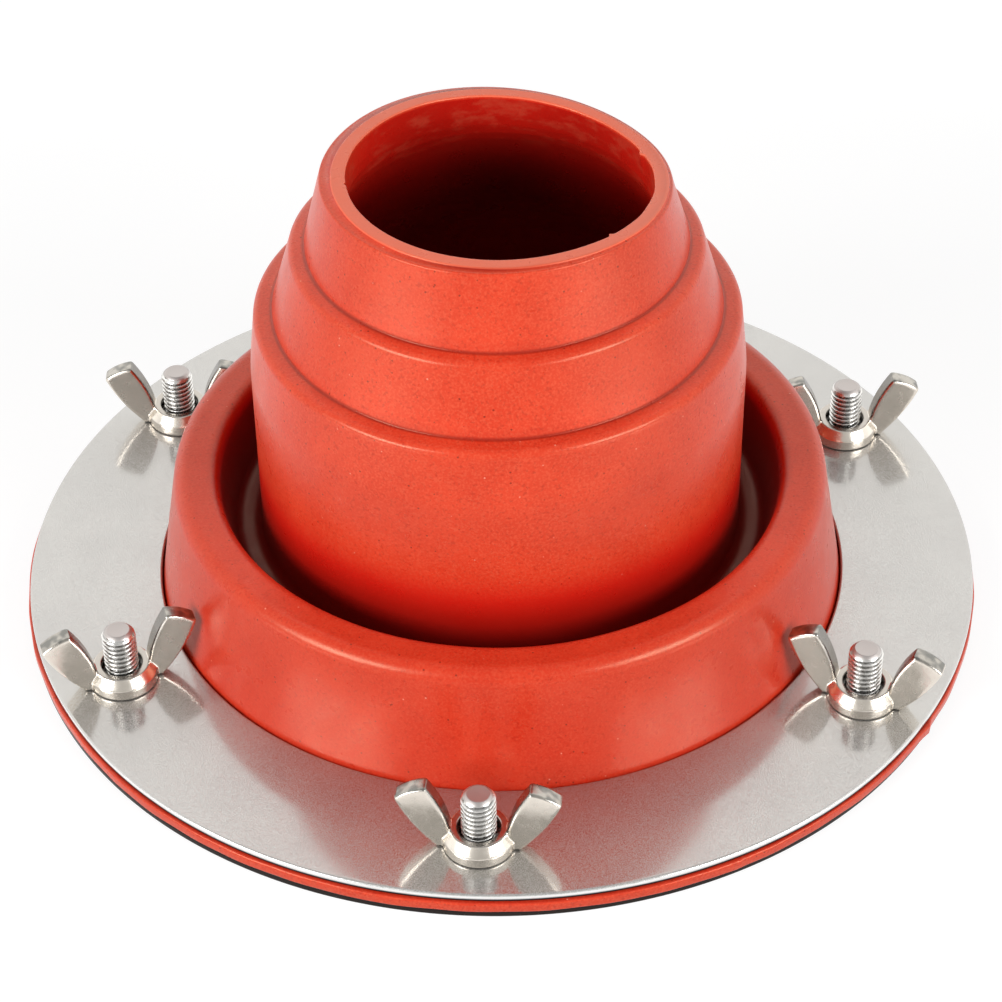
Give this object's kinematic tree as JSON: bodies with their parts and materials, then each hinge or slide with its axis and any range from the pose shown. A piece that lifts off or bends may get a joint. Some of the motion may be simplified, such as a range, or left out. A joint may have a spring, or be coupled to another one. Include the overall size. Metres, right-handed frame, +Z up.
{
  "type": "tent stove jack",
  "caption": "Stepped silicone flue boot with a folded collar, clamped round a tent wall opening between stainless rings by weld studs and wing nuts.",
  "frame": {"origin": "on the pipe opening's axis, at the underside of the lower ring", "axes": "+Z up the flue pipe, out of the mouth; +X and +Y lie in the rings' plane, and the first stud is at -Y"},
  "size_m": [0.177, 0.177, 0.0886],
  "materials": {
    "silicone": "semi-matt orange-red moulded silicone rubber",
    "ring_steel": "satin rolled stainless sheet",
    "stud_steel": "bright rolled thread",
    "nut_steel": "tumble-polished stainless casting"
  },
  "bodies": {
    "jack": {"silicone_boot": "silicone", "lower_ring": "ring_steel", "upper_ring": "ring_steel", "stud_1": "stud_steel", "stud_2": "stud_steel", "stud_3": "stud_steel", "stud_4": "stud_steel", "stud_5": "stud_steel", "stud_6": "stud_steel"},
    "nut_1": {"wing_nut_1": "nut_steel"},
    "nut_2": {"wing_nut_2": "nut_steel"},
    "nut_3": {"wing_nut_3": "nut_steel"},
    "nut_4": {"wing_nut_4": "nut_steel"},
    "nut_5": {"wing_nut_5": "nut_steel"},
    "nut_6": {"wing_nut_6": "nut_steel"}
  },
  "joints": [
    {"name": "wing_nut_1_turn", "type": "hinge", "parent": "jack", "child": "nut_1", "pos_m": [0, -0.0755, 0.005], "axis": [0, 0, 1], "range_deg": [0, 4140]},
    {"name": "wing_nut_2_turn", "type": "hinge", "parent": "jack", "child": "nut_2", "pos_m": [0.06538, -0.03775, 0.005], "axis": [0, 0, 1], "range_deg": [0, 4140]},
    {"name": "wing_nut_3_turn", "type": "hinge", "parent": "jack", "child": "nut_3", "pos_m": [0.06538, 0.03775, 0.005], "axis": [0, 0, 1], "range_deg": [0, 4140]},
    {"name": "wing_nut_4_turn", "type": "hinge", "parent": "jack", "child": "nut_4", "pos_m": [0, 0.0755, 0.005], "axis": [0, 0, 1], "range_deg": [0, 4140]},
    {"name": "wing_nut_5_turn", "type": "hinge", "parent": "jack", "child": "nut_5", "pos_m": [-0.06538, 0.03775, 0.005], "axis": [0, 0, 1], "range_deg": [0, 4140]},
    {"name": "wing_nut_6_turn", "type": "hinge", "parent": "jack", "child": "nut_6", "pos_m": [-0.06538, -0.03775, 0.005], "axis": [0, 0, 1], "range_deg": [0, 4140]}
  ]
}
